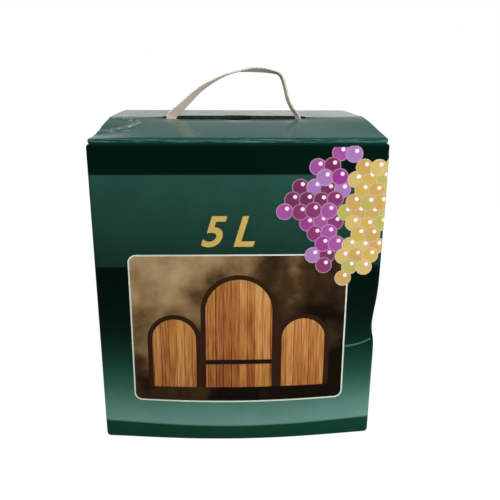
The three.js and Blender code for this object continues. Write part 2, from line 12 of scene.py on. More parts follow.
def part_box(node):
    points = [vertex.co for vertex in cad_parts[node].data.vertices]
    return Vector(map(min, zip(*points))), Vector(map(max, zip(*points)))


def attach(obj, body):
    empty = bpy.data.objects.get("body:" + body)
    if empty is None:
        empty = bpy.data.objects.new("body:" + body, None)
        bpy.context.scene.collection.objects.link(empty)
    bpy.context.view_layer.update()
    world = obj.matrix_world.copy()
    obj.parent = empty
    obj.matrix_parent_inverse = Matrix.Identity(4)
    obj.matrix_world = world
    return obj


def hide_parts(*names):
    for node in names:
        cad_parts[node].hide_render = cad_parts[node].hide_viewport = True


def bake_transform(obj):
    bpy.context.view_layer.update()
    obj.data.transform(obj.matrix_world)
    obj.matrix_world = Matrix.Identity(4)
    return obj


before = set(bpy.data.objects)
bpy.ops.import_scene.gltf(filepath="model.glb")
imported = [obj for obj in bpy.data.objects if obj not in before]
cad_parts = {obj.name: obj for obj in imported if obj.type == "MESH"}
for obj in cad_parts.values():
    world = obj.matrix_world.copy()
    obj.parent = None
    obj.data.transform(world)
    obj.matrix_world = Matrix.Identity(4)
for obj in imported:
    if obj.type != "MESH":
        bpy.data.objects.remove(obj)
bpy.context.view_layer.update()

bl_info = {"name": "Bag in box carton", "version": (1, 0, 0), "blender": (4, 5, 0),
    "location": "3D View > Sidebar > Carton",
    "description": "Builds a printed bag in box carton on its packed frame", "category": "Object",}

MM = 0.001
TINY = 0.02 * MM
FINE_GRID = 1.5 * MM
# In millimetres: the top of the walls' print, and the crease's start, height and curve in the front wall
PRINT_TOP = 212.0
CREASE_START, CREASE_HEIGHT, CREASE_RISE = 70.0, 69.5, 4.5 / 18 ** 2


def linear(code):
    """An sRGB hex colour as linear red, green, blue and alpha."""
    values = [int(code[i:i + 2], 16) / 255 for i in (1, 3, 5)]
    return [v / 12.92 if v <= 0.04045 else ((v + 0.055) / 1.055) ** 2.4 for v in values] + [1.0]


def length(name, description, value):
    return FloatProperty(
        name=name, description=description, default=value * MM, unit="LENGTH", precision=4)


def colour(name, description, code):
    return FloatVectorProperty(
        name=name, description=description, default=linear(code), size=4, subtype="COLOR", min=0, max=1)


class CartonSizes(bpy.types.PropertyGroup):
    width: length("Width", "Outer width before the bag pushes the walls out", 185)
    depth: length("Depth", "Outer depth before the bag pushes the walls out", 163.5)
    wall_top: length("Wall height", "Height of the walls", 206)
    board: length("Board", "Thickness of the corrugated board", 2.4)
    fold: length("Upright fold", "Radius of the folds between walls", 2.8)
    grid: length("Grid", "Spacing of the mesh on the walls", 3.4)
    dust_flap: length("Dust flap", "Length of the flaps under the lid", 60)
    rear_rise: length("Rear rise", "How far the rear wall stands above the others", 1.2)
    lid_half: length("Lid half width", "Half the width of the lid", 91)
    lid_fold: length("Lid fold", "Radius of the lid's folds", 3)
    lid_top: length("Lid top", "Height of the lid's outside at its folds", 208.7)
    lid_rear: length("Lid rear", "Where the lid turns down behind", 79.05)
    ridge: length("Ridge", "How far the middle of the lid rises", 2.6)
    tuck: length("Tuck flap", "Length of the tuck flap", 28)
    tear_out: length("Tear-out", "Radius of the half round tear-out", 21)
    tear_place: length("Tear-out place", "Place of the tear-out along the side", -23)
    front_bulge: length("Front bulge", "How far the bag pushes the front and rear walls out", 9.75)
    side_bulge: length("Side bulge", "How far the bag pushes the side walls out", 4)
    rear_sag: length("Rear sag", "How far the rear of the lid has sunk", 1.2)
    dent: length("Dent", "Depth of the dent in the front right edge", 2.1)


class StrapSizes(bpy.types.PropertyGroup):
    width: length("Width", "Width of the tape", 8.6)
    thickness: length("Thickness", "Thickness of the tape", 0.9)
    foot: length("Foot", "Height at which the strap stands on its bars", 208.58)
    reach: length("Reach", "Half the span of the strap", 47)
    rise: length("Rise", "Height of the arch", 35.9)
    twist: FloatProperty(name="Twist", description="Twist at the left end", default=math.radians(52),
        subtype="ANGLE")


class PrintColours(bpy.types.PropertyGroup):
    band: colour("Top band", "Nearly black band under the lid", "#02150e")
    field_high: colour("Field, high", "Teal field at its upper edge", "#21463b")
    field_low: colour("Field, low", "Teal field at its lower edge", "#132b22")
    fade_dark: colour("Fade, dark", "Dark end of the lower fade", "#010e08")
    fade_middle: colour("Fade, middle", "Middle of the lower fade", "#1c4537")
    fade_light: colour("Fade, light", "Light end of the lower fade", "#5c8579")
    foot: colour("Foot", "Green foot band", "#103a29")
    lid: colour("Lid", "Teal of the lid", "#17574d")
    line: colour("Line", "Pale line round the panel", "#c3c9ba")
    gold: colour("Gold", "Ochre of the volume mark", "#bd9e50")
    wood: colour("Wood", "Warm brown of the panel's doors", "#9e6835")
    liner: colour("Liner", "Brown inner liner of the board", "#a98a63")
    edge: colour("Cut edge", "Brown of the board's cut edges", "#80684a")
    # The slot's edge colour is partly ink soil and partly painted shade inside the slot and finger hole.
    slot: colour("Slot edge", "Cut edge of the slot and the finger hole, partly inked and partly painted shade", "#3b3831")
    tape: colour("Tape", "Undyed cotton tape", "#e8d8c6")


def deselect():
    if bpy.context.object and bpy.context.object.mode != "OBJECT":
        bpy.ops.object.mode_set(mode="OBJECT")
    bpy.ops.object.select_all(action="DESELECT")


def named(name):
    """Names the object that was just added and applies its place and size."""
    piece = bpy.context.object
    piece.name = piece.data.name = name
    bpy.ops.object.transform_apply(location=True, rotation=True, scale=True)
    return piece


def enter_mesh():
    """Enters edit mode with the whole of the active mesh selected."""
    bpy.ops.object.mode_set(mode="EDIT")
    bpy.ops.mesh.select_all(action="SELECT")


def leave_mesh():
    bpy.ops.object.mode_set(mode="OBJECT")


def select(piece, kind, test):
    """In edit mode, selects the verts, edges or faces whose middle passes the test."""
    bpy.context.tool_settings.mesh_select_mode = (kind == "verts", kind == "edges", kind == "faces")
    bpy.ops.mesh.select_all(action="DESELECT")
    form = bmesh.from_edit_mesh(piece.data)
    for part in getattr(form, kind):
        corners = [part] if kind == "verts" else part.verts
        if test(sum((corner.co for corner in corners), Vector()) / len(corners), part):
            part.select_set(True)
    form.select_flush_mode()
    bmesh.update_edit_mesh(piece.data)


def add_box(name, place, size):
    """A box of a size about a place, left in edit mode."""
    deselect()
    bpy.ops.mesh.primitive_cube_add(size=1, location=place, scale=size)
    piece = named(name)
    enter_mesh()
    return piece


def extrude_along(points):
    """In edit mode, extrudes the selection from each point in Y and Z to the next."""
    for here, there in zip(points, points[1:]):
        way = 0, there[0] - here[0], there[1] - here[1]
        bpy.ops.mesh.extrude_region_move(TRANSFORM_OT_translate={"value": way})


def add_sheet(name, half, points):
    """A sheet that follows points in Y and Z, as wide as twice its half, left in edit mode."""
    deselect()
    bpy.ops.mesh.primitive_plane_add(size=1)
    piece = named(name)
    enter_mesh()
    form = bmesh.from_edit_mesh(piece.data)
    for vertex in form.verts:
        vertex.co = Vector((math.copysign(half, vertex.co.x), *points[vertex.co.y > 0]))
    bmesh.update_edit_mesh(piece.data)
    select(piece, "edges", lambda m, e: (m - Vector((0, *points[1]))).length < TINY)
    extrude_along(points[1:])
    return piece


def arc(centre, radius, start, end, count):
    """Points on an arc between two angles in degrees."""
    angles = [math.radians(start + (end - start) * i / count) for i in range(count + 1)]
    return [(centre[0] + radius * math.cos(a), centre[1] + radius * math.sin(a)) for a in angles]


def cut_at(places, axis):
    """In edit mode, cuts the whole mesh across an axis at each place."""
    normal = Vector([float(i == axis) for i in range(3)])
    for place in places:
        bpy.ops.mesh.select_all(action="SELECT")
        bpy.ops.mesh.bisect(plane_co=normal * place, plane_no=normal)


def steps(low, high, spacing):
    """The places between two ends, at about a spacing."""
    count = max(1, round((high - low) / spacing))
    return [low + (high - low) * i / count for i in range(1, count)]


def apply_modifier(piece, kind, **settings):
    """Adds a modifier with its settings and applies it at once."""
    modifier = piece.modifiers.new(kind.title(), kind)
    for key, value in settings.items():
        setattr(modifier, key, value)
    bpy.context.view_layer.objects.active = piece
    piece.select_set(True)
    bpy.ops.object.modifier_apply(modifier=modifier.name)


def cut_out(piece, cutter, finishes, slot):
    """Cuts a form out of a piece, and gives the cut faces one of the piece's finishes."""
    for material in finishes:
        cutter.data.materials.append(material)
    for face in cutter.data.polygons:
        face.material_index = slot
    apply_modifier(piece, "BOOLEAN", operation="DIFFERENCE", object=cutter, solver="EXACT")
    bpy.data.objects.remove(cutter)


def thicken(piece, finishes, board):
    """Turns a sheet into board, with its liner inside and its cut edges round it."""
    for material in finishes:
        piece.data.materials.append(material)
    apply_modifier(
        piece, "SOLIDIFY", thickness=board, offset=-1, use_even_offset=True, material_offset=1,
        material_offset_rim=2)


def points_of(piece):
    """A piece's points in metres, one row each."""
    flat = np.empty(len(piece.data.vertices) * 3)
    piece.data.vertices.foreach_get("co", flat)
    return flat.reshape(-1, 3)


def move_points(piece, points):
    piece.data.vertices.foreach_set("co", points.ravel())
    piece.data.update()


def hump(across, width, power=2):
    """A bell of height 1 over distances from its middle."""
    return np.exp(-(across / width) ** power)


def pushed_out(sizes, points):
    """Where the full bag, the dent and the sunken lid put points of the square carton."""
    half_width, half_depth = sizes.width / 2 / MM, sizes.depth / 2 / MM
    bulge_height, dent_height, wall_height = 14, 83, 206
    left_slump, right_swell, edge_dent = 1.6, 0.9, 0.8
    x, y, z = (points / MM).T
    up, high = np.maximum(0, z) / wall_height, z > dent_height
    bulge = hump(np.abs(z - bulge_height), np.where(z > bulge_height, 52, 29.7), 1.2)
    across = (1 - np.minimum(1, np.abs(x) / half_width) ** 2) ** 1.3
    along = (1 - np.minimum(1, np.abs(y) / half_depth) ** 2) ** 1.3
    fall = hump(z - dent_height, np.where(high, 19, 9))
    dent = edge_dent * np.where(high, fall, 1) + sizes.dent / MM * fall
    near = hump(np.hypot(x - half_width, y + half_depth), 10)
    sunk = (np.maximum(0, y) / half_depth) ** 2 * up ** 4
    left = left_slump * hump(x + half_width, 20) * hump(y + 56, 20)
    right = right_swell * hump(x - half_width, 25) * hump(y + 22, 35)
    moved = np.stack([
        x * (1 + sizes.side_bulge / MM * bulge * along / half_width) - dent * near,
        y * (1 + sizes.front_bulge / MM * bulge * across / half_depth),
        z - sizes.rear_sag / MM * sunk - (left - right) * up ** 14], 1)
    return moved * MM


def creased(points):
    """Presses the slanting crease and its buckle into the front wall, beside the dent."""
    x, y, z = (points / MM).T
    on_front = np.clip((-y - 76) / 3, 0, 1)
    from_line = z - (CREASE_HEIGHT + CREASE_RISE * np.maximum(0, x - CREASE_START) ** 2)
    reach = np.clip((x - 64) / 12, 0, 1) ** 1.5
    below = 0.9 / (1 + np.exp(from_line / 0.5)) * np.exp(-np.maximum(0, -from_line) / 14)
    valley = -0.5 * hump(from_line - 4, 4)
    buckle = -0.9 * hump(z - 80, 4) * hump(x - 88, 2.2)
    points = points.copy()
    points[:, 1] -= on_front * reach * (below + valley + buckle) * MM
    return points


def smooth(piece, angle=35):
    """Shades a piece smooth, except over edges sharper than an angle in degrees."""
    deselect()
    piece.select_set(True)
    bpy.context.view_layer.objects.active = piece
    bpy.ops.object.shade_smooth_by_angle(angle=math.radians(angle))


def settle(piece, body, materials, replaced=()):
    """Gives a piece its finish, its body and the node that it stands for."""
    if not piece.data.materials:
        for material in materials:
            piece.data.materials.append(material)
    if body:
        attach(piece, body)
    if replaced:
        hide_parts(*replaced)


def add_node(tree, kind, inputs=(), operation=None, **settings):
    """Adds a node with its settings, and links or sets its inputs, given by name or in order."""
    made = tree.nodes.new("ShaderNode" + kind)
    if operation:
        made.operation = operation
    for key, value in settings.items():
        setattr(made, key, value)
    for key, value in inputs.items() if isinstance(inputs, dict) else enumerate(inputs):
        if isinstance(value, bpy.types.Node):
            value = value.outputs[0]
        if isinstance(value, bpy.types.NodeSocket):
            tree.links.new(value, made.inputs[key])
        else:
            made.inputs[key].default_value = value
    return made


def empty_tree(owner):
    """Empties the node tree of a material or world, and gives the function that adds nodes to it."""
    owner.use_nodes = True
    owner.node_tree.nodes.clear()
    return partial(add_node, owner.node_tree)


def finish(name, draw, *given):
    """The material of a name. Where it is new, draw adds its nodes and gives its surface's inputs."""
    material = bpy.data.materials.get(name)
    if not material:
        material = bpy.data.materials.new(name)
        add = empty_tree(material)
        add("OutputMaterial", [add("BsdfPrincipled", draw(add, *given))])
    return material


def set_ramp(ramp, stops):
    """Fills a colour ramp with (position, colour) stops and gives it back."""
    elements = ramp.color_ramp.elements
    while len(elements) > 1:
        elements.remove(elements[-1])
    elements[0].position = stops[0][0]
    for index, (position, tint) in enumerate(stops):
        (elements.new(position) if index else elements[0]).color = list(tint)
    return ramp


def printed_board(add, is_wall):
    """Corrugated board with print and a water varnish: a soft gloss, faint flutes, pale folds that are
    partly rubbed wear and partly painted highlight, and on the walls a painted highlight along the
    crease.
    """
    tint = bpy.context.scene.print_colours
    mm = add("VectorMath", {0: add("TexCoord").outputs["Object"], "Scale": 1 / MM}, "SCALE")
    x, y, z = add("SeparateXYZ", [mm]).outputs
    mottle = add("TexNoise", {"Vector": mm, "Scale": 0.05, "Detail": 4.0})
    if is_wall:
        dark, middle, light, field_low, field_high, lid = (np.array(getattr(tint, key)) for key in (
            "fade_dark", "fade_middle", "fade_light", "field_low", "field_high", "lid"))
        fade = [(14.4, 1.0), (18, 0.88), (26, 0.62), (34, 0.36), (42, 0.14), (50, 0.0)]
        dim = [(58, 0.62), (68, 0.3), (80, 0.1), (100, 0.02), (126.6, 0.0)]
        stops = [(0, tint.foot), (13.4, tint.foot)]
        stops += [(at, middle + (light - middle) * share) for at, share in fade]
        stops += [(at, dark + (middle - dark) * share) for at, share in dim]
        stops += [
            (127.2, field_low), (150, 0.6 * field_low + 0.4 * field_high), (186.6, field_high),
            (187.2, tint.band), (204.4, tint.band), (206.4, 0.3 * lid), (208.2, 0.6 * lid), (212, lid)]
        field = set_ramp(
            add("ValToRGB", [add("Math", [z, PRINT_TOP], "DIVIDE")]),
            [(at / PRINT_TOP, value) for at, value in stops])
        shown = panel_print(add, x, y, z, field, tint)
        # The top fold of the walls: its pale streaks are partly rubbed wear and partly painted highlight.
        on_fold = add("Math", [z, 207.6, 0.9], "COMPARE")
        past = add("Math", [add("Math", [x, CREASE_START], "SUBTRACT"), 0.0], "MAXIMUM")
        bow = add("Math", [add("Math", [past, 2.0], "POWER"), CREASE_RISE, CREASE_HEIGHT], "MULTIPLY_ADD")
        crease = add("Math", [z, bow], "SUBTRACT")
        # A thin pale line along the crease beside the dent: painted highlight on the crease's ridge.
        line = add("MapRange", [add("Math", [crease], "ABSOLUTE"), 0.1, 0.8, 0.42, 0.0])
        front, beside = add("Math", [y, -77.0], "LESS_THAN"), add("Math", [x, 79.5, 9.5], "COMPARE")
        pale_mask = add("Math", [line, add("Math", [beside, front], "MULTIPLY")], "MULTIPLY")
        shown = add("Mix", {0: pale_mask, 6: shown, 7: linear("#5f9483")}, data_type="RGBA").outputs[2]
    else:
        # The lid's front and rear folds: their pale streaks are partly rubbed wear and partly painted
        # highlight.
        front = add("Math", [y, -79.2, 0.7], "COMPARE")
        behind, high = add("Math", [y, 76.0], "GREATER_THAN"), add("Math", [z, 205.0], "GREATER_THAN")
        rear = add("Math", [behind, high], "MULTIPLY")
        on_fold = add("Math", [front, rear], "MAXIMUM")
        shown = tear_out_print(add, mm, x, y, tint.lid)
    # Pale streaks along the folds: partly rubbed varnish and partly painted highlight.
    drawn = add("Mapping", {"Vector": mm, "Scale": (0.06, 1.2, 1.2)})
    wear_and_highlight_streak = add("TexNoise", {"Vector": drawn, "Scale": 1.0, "Detail": 6.0, "Roughness": 0.7})
    rubbed = add("Math", [on_fold, add("MapRange", [wear_and_highlight_streak, 0.46, 0.66, 0.0, 0.4])], "MULTIPLY")
    shown = add("Mix", {0: rubbed, 6: shown, 7: linear("#86a79c")}, data_type="RGBA").outputs[2]
    mottled = add("MapRange", [mottle, 0.3, 0.7, 0.93, 1.07])
    shown = add(
        "Mix", {0: 1.0, 6: shown, 7: mottled}, data_type="RGBA", blend_type="MULTIPLY").outputs[2]
    flutes = add("TexWave", {"Vector": mm, "Scale": 0.063, "Distortion": 0.4})
    grain = add("TexNoise", {"Vector": mm, "Scale": 0.16, "Detail": 5.0})
    relief = add("Math", [flutes.outputs[1], 0.25, grain], "MULTIPLY_ADD")
    bump = add("Bump", {"Strength": 0.05, "Distance": 0.0005, "Height": relief})
    gloss = add("MapRange", [grain, 0.3, 0.7, *((0.22, 0.32) if is_wall else (0.13, 0.2))])
    return {
        "Base Color": shown, "Roughness": gloss, "Normal": bump, "IOR": 1.45,
        "Specular IOR Level": 0.015 if is_wall else 0.3}


def panel_print(add, x, y, z, under, tint):
    """The framed panel of the front and rear: three arched plank doors in a dark vaulted wall."""
    sill, rim_width, corner_radius, line_width, far = 42.0, 3.2, 5.3, 0.95, 999
    across = add("Math", [add("Math", [x, add("Math", [y], "SIGN")], "MULTIPLY"), -1.0], "MULTIPLY")
    flat = add("CombineXYZ", [across, 0.0, z])
    off = add("VectorMath", [flat, (0, 0, 83.2)], "SUBTRACT")
    away = add("VectorMath", [off], "ABSOLUTE")
    corner = add("VectorMath", [away, (65.8, 0, 46.7)], "SUBTRACT")
    past = add("VectorMath", [corner, (0, 0, 0)], "MAXIMUM")
    reach = add("VectorMath", [past], "LENGTH").outputs[1]
    on_face = add("Math", [add("Math", [y], "ABSOLUTE"), 78.5], "GREATER_THAN")
    framed = add("Math", [add("Math", [reach, corner_radius], "LESS_THAN"), on_face], "MULTIPLY")
    within = add("Math", [reach, corner_radius - line_width], "LESS_THAN")
    inside = add("Math", [within, on_face], "MULTIPLY")
    stone = add("TexVoronoi", {"Vector": flat, "Scale": 0.16})
    glow = add("TexNoise", {"Vector": flat, "Scale": 0.035, "Detail": 5.0})
    lit = add("Math", [glow, 1.1, add("Math", [z, 0.0045, -0.62], "MULTIPLY_ADD")], "MULTIPLY_ADD")
    lit = add("Math", [stone, -0.02, lit], "MULTIPLY_ADD")
    lit = add("Math", [across, -0.0032, lit], "MULTIPLY_ADD")
    shown = set_ramp(add("ValToRGB", [lit]), [
        (0.1, linear("#120c07")), (0.35, linear("#3a2a18")), (0.55, linear("#7a6242")),
        (0.8, linear("#a08a66"))])
    drawn = add("Mapping", {"Vector": flat, "Scale": (0.9, 1, 0.05)})
    grain = add("TexNoise", {"Vector": drawn, "Scale": 1.0, "Detail": 5.0})
    plank = add("Math", [across, 5.2], "DIVIDE")
    tone = add("TexWhiteNoise", {1: add("Math", [plank], "FLOOR")}, noise_dimensions="1D")
    joint = add("Math", [add("Math", [plank], "FRACT"), 0.07], "LESS_THAN")
    warmth = add("Math", [tone, 0.3, add("Math", [grain, 0.9], "MULTIPLY")], "MULTIPLY_ADD")
    warmth = add("Math", [warmth, add("Math", [joint, 0.35], "MULTIPLY")], "SUBTRACT")
    warmth = add("Math", [z, 0.0022, add("Math", [warmth, 0.16], "SUBTRACT")], "MULTIPLY_ADD")
    wood = set_ramp(add("ValToRGB", [warmth]), [
        (0.1, linear("#3a1d10")), (0.4, linear("#7a4322")), (0.62, tint.wood), (0.85, linear("#b98a52"))])
    above = add("Math", [z, sill], "GREATER_THAN")
    for centre, half, spring in ((-43.0, 14.5, 76.0), (43.0, 14.5, 76.0), (0.0, 22.0, 96.0)):
        at = add("VectorMath", [flat, (centre, 0, spring)], "SUBTRACT")
        up = add("VectorMath", [at, (-far, 0, 0)], "MAXIMUM")
        apart = add("VectorMath", [up], "LENGTH").outputs[1]
        rim = add("Math", [add("Math", [apart, half + rim_width], "LESS_THAN"), above], "MULTIPLY")
        leaf = add("Math", [add("Math", [apart, half], "LESS_THAN"), above], "MULTIPLY")
        shown = add("Mix", {0: rim, 6: shown, 7: linear("#2b1a10")}, data_type="RGBA").outputs[2]
        shown = add("Mix", {0: leaf, 6: shown, 7: wood}, data_type="RGBA").outputs[2]
    middle = add("Math", [add("Math", [across], "ABSOLUTE"), 22.0], "LESS_THAN")
    banded = add("Math", [add("Math", [z, 60.0, 1.6], "COMPARE"), middle], "MULTIPLY")
    shown = add("Mix", {0: banded, 6: shown, 7: linear("#1c140e")}, data_type="RGBA").outputs[2]
    under = add("Mix", {0: framed, 6: under, 7: tint.line}, data_type="RGBA").outputs[2]
    return add("Mix", {0: inside, 6: under, 7: shown}, data_type="RGBA").outputs[2]


def tear_out_print(add, mm, x, y, under):
    """The half round tear-out of the lid: its cuts, drawn as dark lines of painted shade in the slits,
    and the varnish rubbed pale round them.
    """
    flat = add("CombineXYZ", [x, y, 0.0])
    off = add("VectorMath", [flat, (-91.0, -23.0, 0)], "SUBTRACT")
    reach = add("VectorMath", [off], "LENGTH").outputs[1]
    split = add("SeparateXYZ", [off])
    angle = add("Math", [split.outputs[1], split], "ARCTAN2")
    # The dashed half round cut and the short straight cut are drawn dark: painted shade in the slits.
    dash = add("Math", [add("Math", [add("Math", [angle, 4.6], "MULTIPLY")], "FRACT"), 0.6], "LESS_THAN")
    cut_line_shade = add("Math", [add("Math", [reach, 21.0, 0.4], "COMPARE"), dash], "MULTIPLY")
    along, across = add("Math", [y, -8.3, 0.45], "COMPARE"), add("Math", [x, -79.5, 6.5], "COMPARE")
    cut_line_shade = add("Math", [cut_line_shade, add("Math", [along, across], "MULTIPLY")], "MAXIMUM")
    scuff = add("TexNoise", {"Vector": mm, "Scale": 0.3, "Detail": 5.0, "Roughness": 0.65})
    pale_mask = add("MapRange", [scuff, 0.44, 0.6, 0.0, 1.0])
    stray = add("TexNoise", {"Vector": mm, "Scale": 0.12, "Detail": 2.0})
    wavy = add("Math", [stray, 9.0, add("Math", [reach, 4.5], "SUBTRACT")], "MULTIPLY_ADD")
    off_ring = add("Math", [add("Math", [wavy, 22.0], "SUBTRACT")], "ABSOLUTE")
    beside = add("MapRange", [off_ring, 0.4, 3.4, 0.85, 0.0])
    round_front = add("VectorMath", [flat, (-76.0, -12.0, 0)], "DISTANCE").outputs[1]
    off_front = add("Math", [add("Math", [round_front, 38.0], "SUBTRACT")], "ABSOLUTE")
    front = add("MapRange", [off_front, 0.3, 1.6, 0.7, 0.0])
    for place, end in ((y, -36.0), (x, -66.0)):
        front = add("Math", [front, add("Math", [place, end], "LESS_THAN")], "MULTIPLY")
    spread = add("VectorMath", [flat, (-86.0, 14.0, 0)], "DISTANCE").outputs[1]
    patch = add("MapRange", [spread, 6.0, 24.0, 0.5, 0.0])
    rubbed = add("Math", [add("Math", [beside, front], "MAXIMUM"), patch], "MAXIMUM")
    pale = add("Math", [pale_mask, rubbed], "MULTIPLY")
    shown = add("Mix", {0: pale, 6: under, 7: linear("#b9c9c2")}, data_type="RGBA").outputs[2]
    return add("Mix", {0: cut_line_shade, 6: shown, 7: linear("#0c1f1a")}, data_type="RGBA").outputs[2]


def kraft_board(add, tint, is_cut):
    """Unprinted kraft: brown fibres with darker flecks, and on a cut edge faint flutes whose darker bands
    are painted shade in their hollows.
    """
    mm = add("VectorMath", {0: add("TexCoord").outputs["Object"], "Scale": 1 / MM}, "SCALE")
    fibre = add("TexNoise", {"Vector": mm, "Scale": 1.4, "Detail": 8.0, "Roughness": 0.7})
    base = np.array(tint)
    shown = set_ramp(add("ValToRGB", [fibre]), [(0.3, base * 0.7), (0.5, base), (0.7, base * 1.15)])
    if is_cut:
        # Darker bands across the cut edge: painted shade in the hollows of the flutes.
        flutes = add("TexWave", {
            "Vector": mm, "Scale": 0.09, "Distortion": 2.0, "Detail": 3.0}, bands_direction="DIAGONAL")
        shown = add(
            "Mix", {0: 0.35, 6: shown, 7: flutes}, data_type="RGBA", blend_type="MULTIPLY").outputs[2]
    bump = add("Bump", {"Strength": 0.3, "Distance": 0.0004, "Height": fibre})
    return {"Base Color": shown, "Roughness": 0.85, "Normal": bump, "Specular IOR Level": 0.3}


def cotton_tape(add):
    """Woven cotton tape: cords crossed by a weft, coarser than the real ones, matt and slightly fuzzy."""
    along = add("UVMap", uv_map="tape")
    split = add("SeparateXYZ", [along])
    cord_width, weft_width = 0.9, 1.6
    cord = add("Math", [add("Math", [split.outputs[1], 2 * math.pi / cord_width], "MULTIPLY")], "SINE")
    weft = add("Math", [add("Math", [split, 2 * math.pi / weft_width], "MULTIPLY")], "SINE")
    weave = add("Math", [cord, weft], "MULTIPLY")
    drawn = add("Mapping", {"Vector": along, "Scale": (0.12, 0.6, 1)})
    soil = add("TexNoise", {"Vector": drawn, "Scale": 1.0, "Detail": 6.0})
    ramp = add("ValToRGB", [add("Math", [weave, 0.05, soil], "MULTIPLY_ADD")])
    base = np.array(bpy.context.scene.print_colours.tape)
    set_ramp(ramp, [(0.25, base * 0.8), (0.5, base * 0.95), (0.7, base)])
    bump = add("Bump", {"Strength": 0.12, "Distance": 0.0002, "Height": weave})
    return {
        "Base Color": ramp, "Roughness": 0.9, "Normal": bump, "Sheen Weight": 0.2, "Sheen Roughness": 0.5,
        "Specular IOR Level": 0.1}


def moulded_plastic(add, code, roughness):
    """Injection moulded plastic: a satin surface with a faint unevenness from the mould."""
    place = add("TexCoord").outputs["Object"]
    texture = add("TexNoise", {"Vector": place, "Scale": 900.0, "Detail": 3.0})
    base = np.array(linear(code))
    ramp = set_ramp(add("ValToRGB", [texture]), [(0.3, base * 0.93), (0.7, base)])
    bump = add("Bump", {"Strength": 0.15, "Distance": 0.0002, "Height": texture})
    return {"Base Color": ramp, "Roughness": roughness, "Normal": bump, "IOR": 1.5}


def metallised_film(add):
    """Metallised polyester film: bright, with fine creases that break up its reflections."""
    place = add("TexCoord").outputs["Object"]
    crease = add("TexVoronoi", {"Vector": place, "Scale": 55.0}, feature="DISTANCE_TO_EDGE")
    fine = add("TexNoise", {"Vector": place, "Scale": 160.0, "Detail": 6.0})
    relief = add("Math", [crease, 1.5, fine], "MULTIPLY_ADD")
    ramp = set_ramp(add("ValToRGB", [fine]), [(0.3, linear("#a4a8ad")), (0.7, linear("#c6c9cc"))])
    bump = add("Bump", {"Strength": 0.5, "Distance": 0.001, "Height": relief})
    return {"Base Color": ramp, "Metallic": 0.9, "Roughness": 0.28, "Normal": bump}


def printed_ink(add):
    """Ink of the round fruit: each disc has a pale rim and a soft highlight, from its own UV map."""
    own = add("UVMap", uv_map="disc")
    reach = add("VectorMath", [own], "LENGTH").outputs[1]
    spot = add("VectorMath", [own, (0.27, 0.36, 0)], "DISTANCE").outputs[1]
    tone = add("Attribute", attribute_name="ink")
    rim = add("MapRange", [reach, 0.84, 0.97, 0.0, 0.4])
    dot = add("MapRange", [spot, 0.19, 0.28, 0.85, 0.0])
    shown = add("Mix", {0: rim, 6: tone, 7: linear("#c9b2bb")}, data_type="RGBA").outputs[2]
    shown = add("Mix", {0: dot, 6: shown, 7: linear("#f4dce8")}, data_type="RGBA").outputs[2]
    return {"Base Color": shown, "Roughness": 0.3, "Specular IOR Level": 0.3}


def gold_ink(add):
    """Ochre ink of the volume mark, a little uneven as offset print is."""
    place = add("TexCoord").outputs["Object"]
    speck = add("TexNoise", {"Vector": place, "Scale": 400.0, "Detail": 4.0})
    base = np.array(bpy.context.scene.print_colours.gold)
    ramp = set_ramp(add("ValToRGB", [speck]), [(0.3, base * 0.85), (0.7, base)])
    return {"Base Color": ramp, "Roughness": 0.3, "Specular IOR Level": 0.3}


def board_finishes(is_wall):
    """Print outside, liner inside, cut edge, and the edge of the lid's slot, darkened partly by ink and
    partly as painted shade.
    """
    tint = bpy.context.scene.print_colours
    side = "walls" if is_wall else "lid"
    finishes = [
        finish("printed corrugated board, " + side, printed_board, is_wall),
        finish("kraft liner", kraft_board, tint.liner, False),
        finish("cut corrugated edge", kraft_board, tint.edge, True)]
    return finishes if is_wall else finishes + [finish("soiled cut edge", kraft_board, tint.slot, True)]


